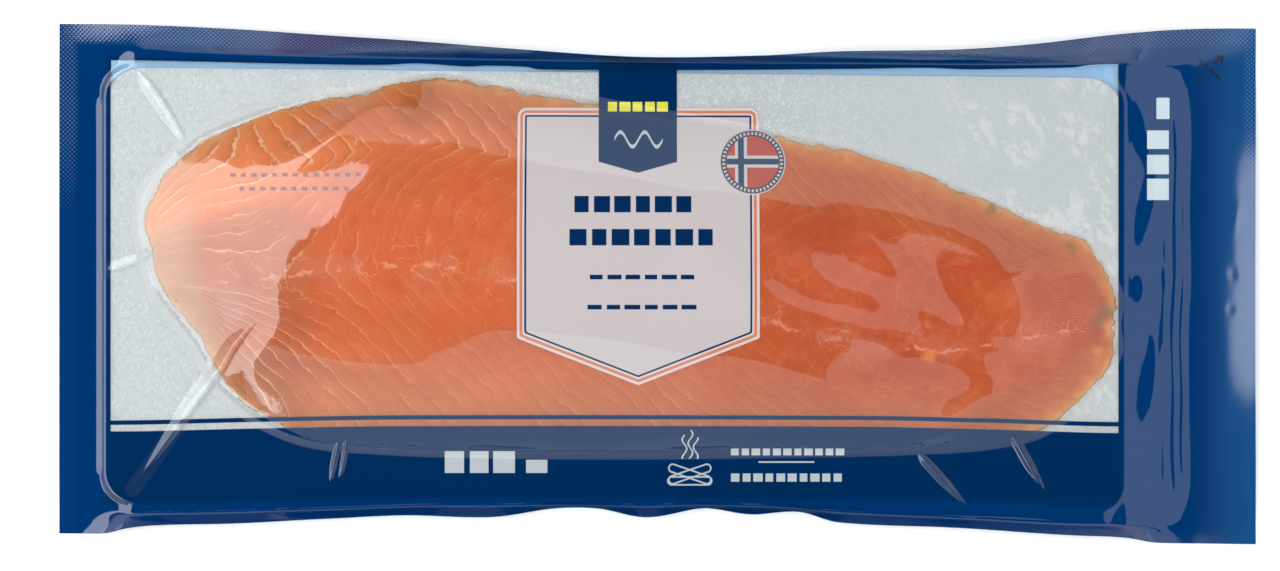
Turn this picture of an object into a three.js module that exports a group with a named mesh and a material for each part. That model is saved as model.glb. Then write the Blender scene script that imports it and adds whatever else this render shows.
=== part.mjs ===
// A side of sliced smoked salmon, vacuum packed: the fish lies on a silver board, and two webs of film,
// sealed together round the edge, hold both. Millimetres, +Z up, the pack lying flat with its long side
// along X. The origin is the middle of the outline, on the surface that the pack rests on.
import * as THREE from "three";

// ---- Driving dimensions -------------------------------------------------------------------------

const FILM = 0.4; // each web
const GAP = 0.3; // between pieces that touch
const POUCH = { left: -235, right: 235, topLeft: 102.2, topRight: 100.4, bottomLeft: -98, bottomRight: -102.2 };
const BOARD = { length: 400, width: 170.4, thickness: 1.2, corner: 15, x: -17, y: -2.2, turn: -0.6 };
const FISH = { edge: 3.9, rise: 13.9, crown: 2.6, undulation: 0.35 };
const SPINE = { left: -118, right: 108, y: -3.3, slope: -0.074 };
const STEPS = { long: 46, short: 14 }; // points along a long and a short side of every loop

const BRIDGE = 10; // how far outside the fish its film comes down
const BOARD_LIP = 0.5; // film stays level this far past the edge of the board
const SEAL_START = 1.8; // where both webs meet, past the edge of the board
const FILM_CORNER = 11; // the film takes the board's corners a little wider
const BEND = 5; // length over which the sealed border turns up

// The fish's outline, counter-clockwise from its top left corner: the points its curve passes through.
const FISH_LEFT = [
  [-179, 56], [-189, 47.7], [-197.8, 36.8], [-201, 24.3], [-198.2, 11.4], [-195.5, -0.4],
  [-187, -12], [-178, -24], [-170.5, -39],
];
const FISH_BOTTOM = [
  [-170.5, -39], [-155.6, -51], [-136, -60], [-109, -63.8], [-62, -65.4], [-3, -65.8],
  [56, -65], [95, -64.2], [130, -62], [151, -57], [169.5, -43],
];
const FISH_RIGHT = [[169.5, -43], [179.5, -27], [179, -16], [180, -5.5], [175, 6.3], [167.5, 17]];
const FISH_TOP = [
  [167.5, 17], [150, 23.1], [118, 37.2], [87, 48.9], [52, 56.8], [9, 64.2], [-30, 71.6],
  [-62, 77], [-89, 81], [-116, 74.8], [-140, 70.8], [-163, 63], [-179, 56],
];

// How far the board's lower long edge, and the border past it, are drawn in.
const DRAWN_IN = [[-207, 0], [-128, 2.4], [-85, 4.2], [-22, 4.7], [40, 5.2], [64, 3.6], [118, 1.6], [167, 0]];

// How far the sealed border has turned up, in degrees, along each side of the pouch.
const TOP_TURN = [
  [-235, 0], [-195, 21], [-163, 36], [-132, 50], [-101, 60], [-54, 76], [-7, 87], [40, 83],
  [71, 75], [118, 70], [150, 58], [181, 37], [212, 15], [235, 5],
];
const BOTTOM_TURN = [
  [-235, 10], [-210, 43], [-195, 60], [-163, 61], [-132, 67], [-101, 70], [-66, 58], [-40, 119], [-23, 101],
  [-4, 61], [18, 98], [37, 71], [56, 96], [71, 64], [118, 64], [165, 55], [197, 33], [212, 14], [235, 4],
];
const LEFT_TURN = [[-102, 0], [-60, 12], [20, 15], [70, 8], [102, 0]];
const RIGHT_TURN = [[-102, 2], [-60, 18], [-35, 22], [20, 16], [70, 6], [102, 0]];
const RIGHT_TURN_START = 22; // the wide right border lies flat this far past the board

// ---- Heights, bottom to top ---------------------------------------------------------------------

const BOARD_BOTTOM = FILM + GAP;
const BOARD_TOP = BOARD_BOTTOM + BOARD.thickness;
const FISH_BOTTOM_Z = BOARD_TOP + GAP;
const SEAL_MIDDLE = FILM + GAP / 2; // halfway between the two webs where they are sealed
const FILM_ON_BOARD = BOARD_TOP + GAP + FILM / 2; // middle of the upper web's thickness

// ---- Small mathematics --------------------------------------------------------------------------

const radians = THREE.MathUtils.degToRad;
const { clamp, lerp, smoothstep } = THREE.MathUtils;

// A smooth curve through [x, y] keys in order of x, level at each end.
function through(keys, x) {
  const last = keys.length - 1;
  const k = clamp(keys.findIndex(([kx]) => x < kx) - 1, 0, last - 1);
  const at = x >= keys[last][0] ? last - 1 : k;
  const slope = (i) =>
    i <= 0 || i >= last ? 0 : (keys[i + 1][1] - keys[i - 1][1]) / (keys[i + 1][0] - keys[i - 1][0]);
  const [x0, y0] = keys[at];
  const [x1, y1] = keys[at + 1];
  const span = x1 - x0;
  const t = clamp((x - x0) / span, 0, 1);
  const rise = y0 + (y1 - y0) * t * t * (3 - 2 * t);
  return rise + span * (slope(at) * t * (1 - t) ** 2 - slope(at + 1) * t * t * (1 - t));
}

// Points spread evenly along a curve through the given points, without the last one.
function along(points, count) {
  const curve = new THREE.CatmullRomCurve3(points.map(([x, y]) => new THREE.Vector3(x, y, 0)), false, "centripetal");
  return curve.getSpacedPoints(count).slice(0, count);
}

// The four sides of a loop, counter-clockwise from its top left corner.
function fourSides(left, bottom, right, top) {
  return [
    ...along(left, STEPS.short),
    ...along(bottom, STEPS.long),
    ...along(right, STEPS.short),
    ...along(top, STEPS.long),
  ];
}

// ---- Plan outlines ------------------------------------------------------------------------------

const fishOutline = fourSides(FISH_LEFT, FISH_BOTTOM, FISH_RIGHT, FISH_TOP);

const topLeft = [POUCH.left, POUCH.topLeft];
const bottomLeft = [POUCH.left, POUCH.bottomLeft];
const bottomRight = [POUCH.right, POUCH.bottomRight];
const topRight = [POUCH.right, POUCH.topRight];
const drawnIn = (x) => through(DRAWN_IN, x);
const pouchOutline = fourSides(
  [topLeft, bottomLeft],
  [bottomLeft, bottomRight],
  [bottomRight, topRight],
  [topRight, topLeft],
).map((point, i) => (i > STEPS.short && i < STEPS.short + STEPS.long ? point.setY(point.y + drawnIn(point.x)) : point));

// Where the middle of the fish runs, for each point of its outline.
const fishMiddle = fishOutline.map((point, i) => {
  const { long, short } = STEPS;
  const onBottom = (i - short) / long;
  const onTop = 1 - (i - 2 * short - long) / long;
  const across = i <= short ? 0 : i <= short + long ? onBottom : clamp(onTop, 0, 1);
  const x = lerp(SPINE.left, SPINE.right, across);
  return new THREE.Vector3(x, SPINE.y + SPINE.slope * x, 0);
});

// The board's long edges, without its corners.
const boardTurn = radians(BOARD.turn);
const boardTop = (x) => BOARD.y + Math.tan(boardTurn) * (x - BOARD.x) + BOARD.width / 2;
const boardBottom = (x) => boardTop(x) - BOARD.width + drawnIn(x);

// Distance that a point lies outside the board; negative over the board.
function pastBoard(x, y) {
  const u = Math.abs(x - BOARD.x) - BOARD.length / 2 + FILM_CORNER;
  const v = Math.max(y - boardTop(x), boardBottom(x) - y) + FILM_CORNER;
  return Math.hypot(Math.max(u, 0), Math.max(v, 0)) + Math.min(Math.max(u, v), 0) - FILM_CORNER;
}

// ---- The fish's thickness -----------------------------------------------------------------------

// Thickness over the board, at `share` of the way from the fish's middle to its outline.
function fishHeight(point, share) {
  const taper = lerp(1.08, 0.74, smoothstep(point.x, -60, 175));
  const waves = Math.sin(point.x / 17 + point.y / 23) * Math.sin(point.x / 41 - point.y / 13);
  const swell = FISH.undulation * waves * (1 - share ** 4);
  return FISH.edge + FISH.rise * taper * (1 - share ** FISH.crown) + swell;
}

// ---- The sealed border --------------------------------------------------------------------------

// How far a border that turns up by `angle` reaches out and up, `length` past where it starts.
function turnedUp(length, angle) {
  const pieces = 12;
  const step = length / pieces;
  let out = 0;
  let up = 0;
  for (let i = 0; i < pieces; i++) {
    const heading = angle * smoothstep((i + 0.5) * step, 0, BEND);
    out += Math.cos(heading) * step;
    up += Math.sin(heading) * step;
  }
  return { out, up };
}

// The middle of the sealed border for a point of the flat pouch.
function border(x, y) {
  const top = boardTop(x) + SEAL_START;
  const bottom = boardBottom(x) - SEAL_START;
  const left = BOARD.x - BOARD.length / 2 - SEAL_START;
  const right = BOARD.x + BOARD.length / 2 + RIGHT_TURN_START;
  const place = new THREE.Vector3(x, y, SEAL_MIDDLE);
  if (y > top) {
    const { out, up } = turnedUp(y - top, radians(through(TOP_TURN, x)));
    place.y = top + out;
    place.z += up;
  } else if (y < bottom) {
    const { out, up } = turnedUp(bottom - y, radians(through(BOTTOM_TURN, x)));
    place.y = bottom - out;
    place.z += up;
  }
  if (x < left) {
    const { out, up } = turnedUp(left - x, radians(through(LEFT_TURN, y)));
    place.x = left - out;
    place.z += up;
  } else if (x > right) {
    const { out, up } = turnedUp(x - right, radians(through(RIGHT_TURN, y)));
    place.x = right + out;
    place.z += up;
  }
  return place;
}

// The border's upward normal there.
function borderNormal(x, y) {
  const h = 0.2;
  const alongX = border(x + h, y).sub(border(x - h, y));
  const alongY = border(x, y + h).sub(border(x, y - h));
  return alongX.cross(alongY).normalize();
}

// ---- Surfaces as loops --------------------------------------------------------------------------

// A closed body whose skin runs from loop to loop, with the first and last loops filled in. From the
// row \`turning\` on, each patch is split along its other diagonal, so that skins that face each other
// fold alike.
function skin(loops, turning) {
  const count = loops[0].length;
  const positions = loops.flat().flatMap((p) => [p.x, p.y, p.z]);
  const index = [];
  const cap = (loop, first, flip) => {
    const flat = loop.map((p) => new THREE.Vector2(p.x, p.y));
    for (const [a, b, c] of THREE.ShapeUtils.triangulateShape(flat, []))
      index.push(...(flip ? [first + a, first + c, first + b] : [first + a, first + b, first + c]));
  };
  for (let row = 0; row + 1 < loops.length; row++)
    for (let i = 0; i < count; i++) {
      const next = (i + 1) % count;
      const [a, b] = [row * count + i, row * count + next];
      const [c, d] = [a + count, b + count];
      index.push(...(row < turning ? [a, b, d, a, d, c] : [a, b, c, b, d, c]));
    }
  cap(loops[0], 0, true);
  cap(loops.at(-1), (loops.length - 1) * count, false);
  const geometry = new THREE.BufferGeometry();
  geometry.setAttribute("position", new THREE.Float32BufferAttribute(positions, 3));
  geometry.setIndex(index);
  geometry.computeVertexNormals();
  return geometry;
}

// The fish's outline drawn in towards its middle, at the height that `rise` gives.
function fishLoop(share, rise) {
  return fishOutline.map((point, i) => {
    const place = new THREE.Vector3().lerpVectors(fishMiddle[i], point, share);
    return place.setZ(FISH_BOTTOM_Z + rise(place));
  });
}

// How far out along the line from the fish to the pouch's edge the board's outline is passed.
function boardCrossing(from, to, past) {
  let near = 0;
  let far = 1;
  for (let i = 0; i < 24; i++) {
    const middle = (near + far) / 2;
    const inside = pastBoard(lerp(from.x, to.x, middle), lerp(from.y, to.y, middle)) < past;
    if (inside) near = middle;
    else far = middle;
  }
  return near;
}

// Height of the upper web's middle outside the fish: on the board, or coming down to the seal.
function webHeight(x, y, distance, edgeHeight) {
  const sealed = SEAL_MIDDLE + (FILM + GAP) / 2;
  const step = smoothstep(pastBoard(x, y), BOARD_LIP, SEAL_START);
  const onBoard = lerp(FILM_ON_BOARD, sealed, step);
  const bridge = sealed + (edgeHeight - sealed) * (1 - clamp(distance / BRIDGE, 0, 1)) ** 2;
  return Math.max(onBoard, bridge);
}

const INNER_SHARES = [0.14, 0.32, 0.52, 0.71, 0.86, 0.95];
const BORDER_SHARES = [0, 0.18, 0.4, 0.7, 1];
const BRIDGE_STEPS = [2, 4.6];

// Loops of the upper web's middle, from over the fish out to the pouch's edge, each with its normals.
function upperWebLoops() {
  const up = new THREE.Vector3(0, 0, 1);
  const lift = GAP + FILM / 2;
  const level = (loop) => loop.map((place) => ({ place, normal: up }));
  const inner = INNER_SHARES.map((share) => level(fishLoop(share, (p) => fishHeight(p, share) + lift)));
  const rim = level(fishLoop(1, () => FISH.edge + lift));
  const spans = fishOutline.map((from, i) => {
    const to = pouchOutline[i];
    const lip = boardCrossing(from, to, BOARD_LIP);
    const seal = boardCrossing(from, to, SEAL_START);
    return { from, to, lip, seal, length: from.distanceTo(to) };
  });
  const edgeHeight = FISH_BOTTOM_Z + FISH.edge + lift;
  const at = (span, share) => {
    const x = lerp(span.from.x, span.to.x, share);
    const y = lerp(span.from.y, span.to.y, share);
    return new THREE.Vector3(x, y, webHeight(x, y, share * span.length, edgeHeight));
  };
  const bridge = BRIDGE_STEPS.map((step) =>
    level(spans.map((span) => at(span, Math.min(step / span.length, (span.lip * step) / 5.5)))),
  );
  const lip = level(spans.map((span) => at(span, span.lip)));
  const borders = BORDER_SHARES.map((share) =>
    spans.map((span) => {
      const flat = at(span, lerp(span.seal, 1, share));
      const normal = borderNormal(flat.x, flat.y);
      const place = border(flat.x, flat.y).addScaledVector(normal, (FILM + GAP) / 2);
      return { place: place.setZ(Math.max(place.z, flat.z)), normal };
    }),
  );
  return [...inner, rim, ...bridge, lip, ...borders];
}

// Loops of the lower web's middle: level under the board, then the sealed border.
function lowerWebLoops() {
  return BORDER_SHARES.map((share) =>
    fishOutline.map((from, i) => {
      const to = pouchOutline[i];
      const along = lerp(boardCrossing(from, to, SEAL_START), 1, share);
      const flat = new THREE.Vector3().lerpVectors(from, to, along);
      const normal = borderNormal(flat.x, flat.y);
      return { place: border(flat.x, flat.y).addScaledVector(normal, -(FILM + GAP) / 2), normal };
    }),
  );
}

// A web of film: its middle loops moved out to both faces.
function web(loops) {
  const face = (side) =>
    loops.map((loop) => loop.map(({ place, normal }) => place.clone().addScaledVector(normal, (side * FILM) / 2)));
  return skin([...face(-1), ...face(1).reverse()], loops.length);
}

// ---- Pieces -------------------------------------------------------------------------------------

function piece(name, geometry, look) {
  const mesh = new THREE.Mesh(geometry, new THREE.MeshStandardMaterial(look));
  mesh.name = name;
  return mesh;
}

function makeLowerFilm() {
  return piece("lower_film", web(lowerWebLoops()), { color: 0x0b3a72, roughness: 0.35, metalness: 0 });
}

function makeBoard() {
  const { length, corner, x } = BOARD;
  const [left, right] = [x - length / 2 + corner, x + length / 2 - corner];
  const shape = new THREE.Shape();
  shape.absarc(right, boardTop(right) - corner, corner, 0, Math.PI / 2 + boardTurn);
  shape.absarc(left, boardTop(left) - corner, corner, Math.PI / 2 + boardTurn, Math.PI);
  shape.absarc(left, boardBottom(left) + corner, corner, Math.PI, 1.5 * Math.PI + boardTurn);
  for (let at = left + 12; at < right - 6; at += 12) shape.lineTo(at, boardBottom(at));
  shape.absarc(right, boardBottom(right) + corner, corner, 1.5 * Math.PI + boardTurn, 2 * Math.PI);
  const depth = BOARD.thickness;
  const geometry = new THREE.ExtrudeGeometry(shape, { depth, bevelEnabled: false, curveSegments: 8 });
  const board = piece("board", geometry, { color: 0xc8d0d3, roughness: 0.45, metalness: 0.2 });
  board.position.z = BOARD_BOTTOM;
  return board;
}

function makeFish() {
  const loops = [
    fishLoop(1, () => 0),
    fishLoop(1, () => FISH.edge),
    ...INNER_SHARES.toReversed().map((share) => fishLoop(share, (p) => fishHeight(p, share))),
  ];
  return piece("salmon_side", skin(loops, 0), { color: 0xd2683f, roughness: 0.4, metalness: 0 });
}

function makeUpperFilm() {
  const look = { color: 0x0b3a72, roughness: 0.15, metalness: 0, transparent: true, opacity: 0.4 };
  return piece("upper_film", web(upperWebLoops()), look);
}

const pack = new THREE.Group();
pack.add(makeLowerFilm(), makeBoard(), makeFish(), makeUpperFilm());

export default pack;
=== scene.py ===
"""A side of sliced smoked salmon on a silver board, vacuum packed between two webs of printed film.

Lengths in the geometry are millimetres, +X towards the pack's wide border and +Z up, and every
vertex is scaled to metres as it is placed.
"""

import math
from functools import cached_property, partial

import bmesh
import bpy
import numpy as np
from bpy.props import FloatProperty, FloatVectorProperty, PointerProperty
from bpy.types import Operator, Panel, PropertyGroup
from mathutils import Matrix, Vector, noise
from mathutils.bvhtree import BVHTree


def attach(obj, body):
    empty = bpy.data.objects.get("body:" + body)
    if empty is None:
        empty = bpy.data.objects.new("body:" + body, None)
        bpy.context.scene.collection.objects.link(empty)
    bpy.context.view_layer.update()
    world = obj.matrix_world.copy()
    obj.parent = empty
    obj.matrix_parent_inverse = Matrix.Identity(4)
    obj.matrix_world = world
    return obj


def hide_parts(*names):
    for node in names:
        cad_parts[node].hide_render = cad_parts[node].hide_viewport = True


bl_info = {
    "name": "Vacuum-packed salmon",
    "version": (1, 0, 0),
    "blender": (4, 5, 0),
    "location": "3D View > Sidebar > Salmon pack",
    "description": "Dresses the packed salmon: film, print, board and fish",
    "category": "Add Mesh",
}

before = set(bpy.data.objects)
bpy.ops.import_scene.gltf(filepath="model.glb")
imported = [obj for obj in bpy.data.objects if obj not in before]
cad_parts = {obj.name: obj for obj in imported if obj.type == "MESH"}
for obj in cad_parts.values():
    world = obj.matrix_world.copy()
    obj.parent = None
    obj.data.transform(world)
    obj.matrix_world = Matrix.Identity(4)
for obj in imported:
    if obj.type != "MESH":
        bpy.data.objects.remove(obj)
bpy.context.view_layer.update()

MM = 0.001

# ---- The pack's forms, as in its solids ---------------------------------------------------------

FILM = 0.4
GAP = 0.3
FILM_APART = 0.12
POUCH = {
    "left": -235, "right": 235, "top_left": 102.2, "top_right": 100.4, "bottom_left": -98, "bottom_right": -102.2,
}
BOARD = {"length": 400, "width": 170.4, "thickness": 1.2, "x": -17, "y": -2.2, "turn": math.radians(-0.6)}
SPINE_LEFT, SPINE_RIGHT, SPINE_Y, SPINE_SLOPE = -118, 108, -3.3, -0.074
BRIDGE_SAG, BRIDGE_SLOPE = 0.06, 1.1
FISH_SUNK = 0.28
SEAL_START, FILM_CORNER, BEND = 1.8, 11, 5
RIGHT_TURN_START, RIGHT_BEND = 24, 25

FISH_LEFT = [
    (-179, 56), (-189, 47.7), (-197.8, 36.8), (-201, 24.3), (-198.2, 11.4), (-195.5, -0.4),
    (-187, -12), (-178, -24), (-170.5, -39),
]
FISH_BOTTOM = [
    (-170.5, -39), (-155.6, -51), (-136, -60), (-109, -63.8), (-62, -65.4), (-3, -65.8),
    (56, -65), (95, -64.2), (130, -62), (151, -57), (169.5, -43),
]
FISH_RIGHT = [(169.5, -43), (179.5, -27), (179, -16), (180, -5.5), (175, 6.3), (167.5, 17)]
FISH_TOP = [
    (167.5, 17), (150, 23.1), (118, 37.2), (87, 48.9), (52, 56.8), (9, 64.2), (-30, 71.6),
    (-62, 77), (-89, 81), (-116, 74.8), (-140, 70.8), (-163, 63), (-179, 56),
]

# How far the board's lower long edge is drawn in, and how far the border turns up along each side.
DRAWN_IN = [(-207, 0), (-128, 2.4), (-85, 4.2), (-22, 4.7), (40, 5.2), (64, 3.6), (118, 1.6), (167, 0)]
TOP_TURN = [
    (-235, 0), (-195, 21), (-163, 36), (-132, 50), (-101, 60), (-54, 76), (-7, 87), (40, 83),
    (71, 75), (118, 70), (150, 58), (181, 37), (212, 15), (235, 5),
]
BOTTOM_TURN = [
    (-235, 4), (-219, 12), (-209, 46), (-195, 60), (-163, 61), (-132, 67), (-101, 70), (-66, 60), (-40, 88),
    (-23, 88), (-4, 61), (18, 88), (37, 71), (56, 88), (71, 64), (118, 64), (165, 55), (185, 46), (198, 14),
    (212, 9), (235, 3),
]
LEFT_TURN = [(-102, 0), (-60, 9), (20, 11), (70, 6), (102, 0)]
RIGHT_TURN = [
    (-102, 4), (-75, 11), (-57, 15), (-40, 19), (-18, 20.5), (0, 20.5), (20, 19), (45, 17.4), (70, 9), (102, 0),
]

BOARD_TOP = FILM + GAP + BOARD["thickness"]
FISH_BASE = BOARD_TOP + GAP
SEAL_MIDDLE = FILM + GAP / 2
FILM_ON_BOARD = BOARD_TOP + GAP + FILM / 2

# ---- Where the print and the flesh's grain lie --------------------------------------------------

# The edge of the printed border along the top, and of the printed band along the bottom.
TOP_PRINT = [(-215, 87.9), (-179, 87.3), (-150, 86.6), (-109, 86.0), (-94, 86.6), (-75, 85.4), (-67, 85.7),
             (-51, 85.2), (-47, 84.3), (-24, 84.0), (20, 84.0), (79, 84.5), (105, 84.9), (123, 84.3),
             (141, 84.6), (164, 85.2), (169, 86.2), (181, 86.6)]
BAND_PRINT = [(-215, -57.9), (-160, -56.8), (-101, -55.7), (79, -55.9), (130, -57), (181, -58.5)]

# The line along the middle of the side, and how far a line of fat runs ahead at each height: from -1 on
# the belly's edge, through 0 on the middle line, to 1 on the back's edge. Each line turns back sharply at
# the chevron's point and runs on to the back's edge. Towards the thick end it sweeps back further, until
# the layers lie along the back's edge, from LAYERS_START to LAYERS_END.
MIDDLE_LINE = [(-200, 0), (-146, 2.3), (-112, 8), (-85, 6.3), (-50, 0.5), (-7, -6.3), (41, -14.5), (75, -22.7),
               (107, -26.6), (134, -23), (180, -17)]
CHEVRON = [(-1, 50), (-0.5, 24), (-0.12, -4), (0, -8), (0.25, -5), (0.45, 6), (0.66, 26), (0.85, 45)]
CHEVRON_POINT, CHEVRON_AHEAD, CHEVRON_BACK = 0.66, 26, 27
THICK_END_SWEEP, LAYERS, LAYERS_START, LAYERS_END = 2.4, 100, -100, -195

# Dried, pale or deep spots of the flesh, and painted shade beside a crest: place, size, how strong, and colour.
OLIVE, AMBER, CREST_SHADE, DEEP = (0.30, 0.235, 0.12), (0.82, 0.36, 0.12), (0.46, 0.16, 0.05), (0.46, 0.085, 0.028)
SPOTS_AND_CREST_SHADE = [
    (118.5, 36.8, 2.8, 0.6, OLIVE),
    (131.0, 29.6, 3.4, 0.6, OLIVE),
    (135.5, 27.6, 2.2, 0.6, OLIVE),
    (176.5, -11.0, 5.0, 0.6, OLIVE),
    (173.0, -14.5, 3.4, 0.45, OLIVE),
    (162.0, 15.0, 2.8, 0.45, OLIVE),
    (172.5, -26.5, 5.0, 0.9, AMBER),
    (106.5, -28.0, 4.0, 0.8, AMBER),
    # Painted shade beside the crest of the thick end's high swell.
    (-93.0, 70.0, 14.0, 0.55, CREST_SHADE),
    (62.0, 23.0, 24.0, 0.4, DEEP),
]

# Folds that stand up where the film is drawn tight over the board: points, width of the gentle flank
# (negative where that is on the right of the way along) and height.
FOLDS = [
    ([(-204.0, 84.0), (-198.5, 76.5), (-191.5, 66.0), (-186.5, 57.5), (-183.5, 50.0)], -3.5, 1.5),
    ([(-216.0, 5.6), (-210.5, 7.0), (-203.5, 9.6), (-197.0, 12.6)], 3.2, 0.7),
    ([(-155.5, -13.5), (-166.0, -24.0), (-171.5, -33.0), (-181.0, -45.6), (-193.4, -63.0), (-206.0, -80.5)], -4.2, 1.9),
    ([(-124.8, -61.0), (-126.8, -70.5), (-128.8, -80.5)], -1.5, 1.1),
    ([(-121.8, -60.0), (-123.0, -69.5), (-125.6, -79.5)], -1.2, 0.9),
    ([(101.5, -65.5), (112.0, -76.7), (123.0, -89.0)], -2.4, 1.3),
    ([(138.7, -57.5), (145.4, -69.7), (153.0, -83.0)], -2.6, 1.4),
    ([(163.4, 20.6), (171.2, 24.0), (180.1, 25.4)], 1.4, 0.4),
]

# Distance from a fold within which the film has finer patches.
FOLD_REACH = 4.5

# Creases along the wide border: place, width, height and how much of the border's wander each one follows.
CREASES = ((195.4, 0.7, 0.08, 0.5), (199.4, 0.7, 0.12, 0.8), (203.4, 0.8, 0.16, 1.2), (207.0, 0.9, 0.10, 1.5))

# Low ridges of the wide border: as for the swells below.
MARGIN_FORMS = [
    (192.8, 60, 5.0, 13, 12, 0.46),
    (195.0, 30, 4.6, 17, -12, 0.44),
    (191.5, -2, 4.0, 6, 0, 0.36),
    (196.0, -38, 4.8, 18, -10, 0.46),
    (199.0, 4, 2.2, 6, 20, 0.14),
    (215.0, -14, 1.8, 2.6, 0, 0.12),
    (226.0, 4, 1.4, 3.0, 10, 0.14),
    (225.0, -10, 1.2, 2.2, 0, 0.12),
    (227.5, 26, 1.6, 6.0, -12, -0.14),
]

# Low swells and hollows of the tightly packed side: middle, spread along X and Y, turn and height.
SWELLS = [
    (-115.5, 65, 15.4, 13.7, -14, 2.32),
    (-131.7, -28.7, 32, 5.4, -9, 1.14),
    (-32, -18.7, 35.5, 5.7, -7, 1.15),
    (-65.1, -33.2, 20, 11.7, 5, -1.17),
    (34.1, -0.2, 35.3, 11.7, -42, 1.28),
    (112.6, -6.2, 24.1, 19, -29, -2.54),
    (143.2, -6.6, 9.1, 13.4, 24, 1.59),
    (82.6, -3.7, 25.1, 5.5, -12, 0.71),
    (66.7, -40.4, 18.8, 6, -20, 0.5),
    (101.6, -64.7, 34.6, 5.6, 33, 1.98),
    (87.1, -38.3, 15.2, 16.5, 41, -1.78),
    (-149.5, 33.3, 17.7, 9.9, -26, -1.5),
    (-165, -42.5, 8.4, 35.7, -25, 1.98),
    (-124.5, 62.6, 29.6, 5.4, 37, 1.93),
    (70, 30.7, 34.6, 6.6, -25, -0.24),
    (97.5, 2.9, 30.3, 5.8, -50, 0.45),
    (113.5, -41.6, 9.1, 12.3, -27, -1.12),
    (61.1, 3.6, 14.7, 7, -35, 0.67),
    (56.4, -10.2, 28.5, 6, -15, 1.18),
    (56.1, -42.4, 35.7, 8.6, -31, 0.52),
    (104.4, -35, 7.7, 6.3, -98, -0.63),
    (-181.8, -4.6, 34.6, 12.6, 62, -1.4),
    (-139.9, -19, 27.9, 34.6, -86, -2.4),
    (-131.4, 49.7, 14.8, 7.1, 18, 0.53),
    (-119.1, 48.6, 10.7, 6.1, 14, -0.28),
]


def through(keys, x):
    """A smooth curve through (x, y) keys in order of x, level at each end."""
    kx, ky = np.array(keys, float).T
    slope = np.zeros_like(kx)
    slope[1:-1] = (ky[2:] - ky[:-2]) / (kx[2:] - kx[:-2])
    i = np.clip(np.searchsorted(kx, x, side="right") - 1, 0, len(kx) - 2)
    span = kx[i + 1] - kx[i]
    t = np.clip((x - kx[i]) / span, 0, 1)
    rise = ky[i] + (ky[i + 1] - ky[i]) * t * t * (3 - 2 * t)
    return rise + span * (slope[i] * t * (1 - t) ** 2 - slope[i + 1] * t * t * (1 - t))


def eased(x, low, high):
    t = np.clip((x - low) / (high - low), 0, 1)
    return t * t * (3 - 2 * t)


def along(points, count):
    """Points spread evenly along a smooth curve through the given ones, without the last."""
    p = np.array(points, float)
    p = np.vstack([2 * p[0] - p[1], p, 2 * p[-1] - p[-2]])
    line = []
    for a, b, c, d in zip(p, p[1:], p[2:], p[3:]):
        t1, t2, t3 = np.cumsum([np.linalg.norm(q - o) ** 0.5 for o, q in ((a, b), (b, c), (c, d))])
        t = np.linspace(t1, t2, 40)[:, None]
        ab = (t1 - t) / t1 * a + t / t1 * b
        bc = (t2 - t) / (t2 - t1) * b + (t - t1) / (t2 - t1) * c
        cd = (t3 - t) / (t3 - t2) * c + (t - t2) / (t3 - t2) * d
        ac = (t2 - t) / t2 * ab + t / t2 * bc
        bd = (t3 - t) / (t3 - t1) * bc + (t - t1) / (t3 - t1) * cd
        line.append((t2 - t) / (t2 - t1) * ac + (t - t1) / (t2 - t1) * bd)
    line = np.vstack(line)
    run = np.concatenate([[0], np.cumsum(np.linalg.norm(np.diff(line, axis=0), axis=1))])
    at = np.linspace(0, run[-1], count + 1)[:-1]
    return np.column_stack([np.interp(at, run, line[:, k]) for k in (0, 1)])


def fish_outline(long, short):
    """The side's outline, counter-clockwise from its top left corner, and its middle for each point."""
    sides = ((FISH_LEFT, short), (FISH_BOTTOM, long), (FISH_RIGHT, short), (FISH_TOP, long))
    outline = np.vstack([along(points, count) for points, count in sides])
    i = np.arange(len(outline))
    across = np.where(i <= short + long, (i - short) / long, 1 - (i - 2 * short - long) / long)
    x = SPINE_LEFT + (SPINE_RIGHT - SPINE_LEFT) * np.clip(across, 0, 1)
    return outline, np.column_stack([x, SPINE_Y + SPINE_SLOPE * x])


def fish_form(long, short, rows, edge, rise, outward):
    """How shares round and across the side become its points, its edge moved outward by so much."""
    outline, middle = fish_outline(long, short)
    away = (outline - middle) / np.linalg.norm(outline - middle, axis=1)[:, None]
    outward = np.broadcast_to(outward, len(outline))

    def place(u, v):
        # v runs from the middle of the underside out to the edge, and back over the top.
        i = np.rint(u * len(outline)).astype(int) % len(outline)
        under = 3 / rows
        inward = np.clip((v - under) / (1 - under), 0, 1)
        share = np.where(v < under, v / under, 1 - inward**1.35)
        at = middle[i] + (outline[i] - middle[i]) * share[:, None] + away[i] * (outward[i] * share**14)[:, None]
        taper = 1.08 + (0.74 - 1.08) * eased(at[:, 0], -60, 175)
        dome = edge + rise * taper * (1 - share**2.1) + swell(at[:, 0], at[:, 1]) * (1 - share**4)
        return np.column_stack([at, FISH_BASE + np.where(v < under + 1e-6, -FISH_SUNK, dome)])

    return place


def film_reach(x):
    """How far past the fish's edge the film stays up before it drops to the board."""
    return 0.8 + 2.9 * eased(-x, 100, 178)


def board_top(x):
    return BOARD["y"] + math.tan(BOARD["turn"]) * (x - BOARD["x"]) + BOARD["width"] / 2


def board_bottom(x):
    return board_top(x) - BOARD["width"] + through(DRAWN_IN, x)


def past_board(x, y):
    """Distance outside the board; negative over it."""
    u = np.abs(x - BOARD["x"]) - BOARD["length"] / 2 + FILM_CORNER
    v = np.maximum(y - board_top(x), board_bottom(x) - y) + FILM_CORNER
    outer = np.hypot(np.maximum(u, 0), np.maximum(v, 0))
    return outer + np.minimum(np.maximum(u, v), 0) - FILM_CORNER


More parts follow.
